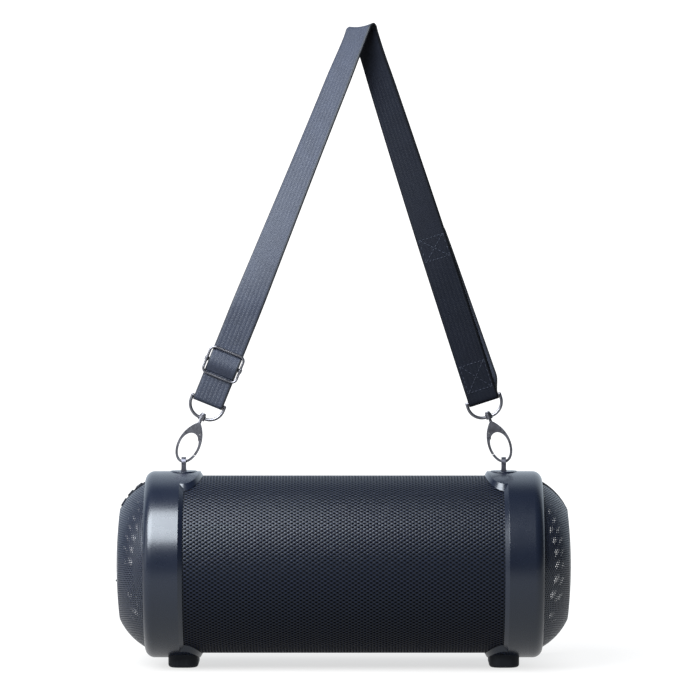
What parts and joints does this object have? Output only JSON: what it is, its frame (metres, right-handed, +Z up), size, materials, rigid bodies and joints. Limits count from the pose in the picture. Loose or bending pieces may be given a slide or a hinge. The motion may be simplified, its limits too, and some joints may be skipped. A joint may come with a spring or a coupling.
{
  "type": "portable barrel speaker",
  "caption": "Portable cloth-wrapped barrel speaker with perforated domed ends, keys, rubber feet and a clip-on shoulder strap.",
  "frame": {"origin": "on the floor under the middle of the barrel", "axes": "+X along the barrel to the plain end, +Y to the back, +Z up"},
  "size_m": [0.3668, 0.149, 0.5119],
  "materials": {
    "board": "green circuit board",
    "cell_wrap": "shrink-wrapped cells",
    "cloth": "open diamond knit over a dark backing",
    "cone": "pressed diaphragm",
    "ferrite": "sintered magnet with zinc plates",
    "gloss_trim": "polished black trim",
    "grille": "powder-coated perforated steel",
    "hook_metal": "gunmetal plating, worn bright on the edges",
    "inner_plastic": "moulded inner parts",
    "key_rubber": "soft key caps",
    "light_pipe": "milky light guides",
    "lug_metal": "dark plated steel",
    "moulding": "satin moulded plastic, near black with a blue cast",
    "panel_plastic": "fine-textured dark moulding",
    "ring_metal": "polished nickel plate",
    "rubber": "matt moulded rubber",
    "steel": "zinc-plated steel",
    "surround": "soft butyl roll",
    "webbing": "tight woven polyester webbing, dark navy"
  },
  "bodies": {
    "speaker": {"barrel_tube": "inner_plastic", "cloth_sleeve": "cloth", "control_panel": "panel_plastic", "control_board": "board", "light_panel": "panel_plastic", "battery_lights": "light_pipe", "port_panel": "panel_plastic", "charging_socket": "steel", "audio_socket": "inner_plastic", "port_board": "board", "chassis": "inner_plastic", "battery_pack": "cell_wrap", "main_board": "board", "left_end_ring": "moulding", "left_foot": "rubber", "left_lug_disc": "moulding", "left_lug_eye": "lug_metal", "left_lug_nut": "steel", "left_dome_grille": "grille", "left_baffle": "inner_plastic", "left_driver_frame": "inner_plastic", "left_magnet": "ferrite", "left_trim_ring": "gloss_trim", "left_surround": "surround", "right_end_ring": "moulding", "right_foot": "rubber", "right_lug_disc": "moulding", "right_lug_eye": "lug_metal", "right_lug_nut": "steel", "right_dome_grille": "grille", "right_baffle": "inner_plastic", "right_driver_frame": "inner_plastic", "right_magnet": "ferrite", "right_trim_ring": "gloss_trim", "right_surround": "surround"},
    "strap": {"strap_main": "webbing", "strap_lap": "webbing", "strap_return": "webbing", "left_d_ring": "ring_metal", "right_d_ring": "ring_metal"},
    "left_snap_hook": {"left_hook": "hook_metal", "left_gate_pin": "steel"},
    "left_hook_gate": {"left_gate": "hook_metal"},
    "left_diaphragm": {"left_cone": "cone"},
    "right_snap_hook": {"right_hook": "hook_metal", "right_gate_pin": "steel"},
    "right_hook_gate": {"right_gate": "hook_metal"},
    "right_diaphragm": {"right_cone": "cone"},
    "adjuster": {"buckle_frame": "ring_metal", "buckle_bar": "ring_metal"},
    "play_key": {"play_key": "key_rubber"},
    "volume_down_key": {"volume_down_key": "key_rubber"},
    "volume_up_key": {"volume_up_key": "key_rubber"},
    "power_key": {"power_key": "key_rubber"},
    "mode_key": {"mode_key": "key_rubber"},
    "port_flap": {"port_cover": "rubber"}
  },
  "joints": [
    {"name": "strap_swing", "type": "hinge", "parent": "speaker", "child": "strap", "pos_m": [0, 0, 0.1625], "axis": [1, 0, 0], "range_deg": [-88, 88]},
    {"name": "left_hook_swivel", "type": "hinge", "parent": "strap", "child": "left_snap_hook", "pos_m": [-0.11338, 0, 0.19841], "axis": [0.4384, 0, 0.8988], "range_deg": [-8, 8]},
    {"name": "left_gate_press", "type": "hinge", "parent": "left_snap_hook", "child": "left_hook_gate", "pos_m": [-0.1149, 0, 0.1848], "axis": [0, 1, 0], "range_deg": [0, 25], "stiffness_Nm_per_rad": 0.02, "springref_deg": -20.05},
    {"name": "right_hook_swivel", "type": "hinge", "parent": "strap", "child": "right_snap_hook", "pos_m": [0.116, 0, 0.19957], "axis": [-0.3584, 0, 0.9336], "range_deg": [-8, 8]},
    {"name": "right_gate_press", "type": "hinge", "parent": "right_snap_hook", "child": "right_hook_gate", "pos_m": [0.11633, 0, 0.18588], "axis": [0, -1, 0], "range_deg": [0, 25], "stiffness_Nm_per_rad": 0.02, "springref_deg": -20.05},
    {"name": "adjuster_slide", "type": "slide", "parent": "strap", "child": "adjuster", "axis": [0.3747, 0, 0.9272], "range_m": [-0.006, 0.035], "deforming": ["strap_return"]},
    {"name": "left_diaphragm_stroke", "type": "slide", "parent": "speaker", "child": "left_diaphragm", "axis": [-1, 0, 0], "range_m": [-0.002, 0.002], "stiffness_N_per_m": 1400},
    {"name": "right_diaphragm_stroke", "type": "slide", "parent": "speaker", "child": "right_diaphragm", "axis": [1, 0, 0], "range_m": [-0.002, 0.002], "stiffness_N_per_m": 1400},
    {"name": "play_key_press", "type": "slide", "parent": "speaker", "child": "play_key", "axis": [0.7334, 0, -0.6798], "range_m": [0, 0.0006], "stiffness_N_per_m": 900, "springref_m": -0.0006},
    {"name": "volume_down_key_press", "type": "slide", "parent": "speaker", "child": "volume_down_key", "axis": [0.6, 0.0892, -0.795], "range_m": [0, 0.0006], "stiffness_N_per_m": 900, "springref_m": -0.0006},
    {"name": "volume_up_key_press", "type": "slide", "parent": "speaker", "child": "volume_up_key", "axis": [0.6, -0.0892, -0.795], "range_m": [0, 0.0006], "stiffness_N_per_m": 900, "springref_m": -0.0006},
    {"name": "power_key_press", "type": "slide", "parent": "speaker", "child": "power_key", "axis": [0.8431, 0.0599, -0.5344], "range_m": [0, 0.0006], "stiffness_N_per_m": 900, "springref_m": -0.0006},
    {"name": "mode_key_press", "type": "slide", "parent": "speaker", "child": "mode_key", "axis": [0.8431, -0.0599, -0.5344], "range_m": [0, 0.0006], "stiffness_N_per_m": 900, "springref_m": -0.0006},
    {"name": "port_cover_lift", "type": "hinge", "parent": "speaker", "child": "port_flap", "pos_m": [-0.16072, 0.06113, 0.05875], "axis": [0, -0.342, -0.9397], "range_deg": [0, 100]}
  ]
}
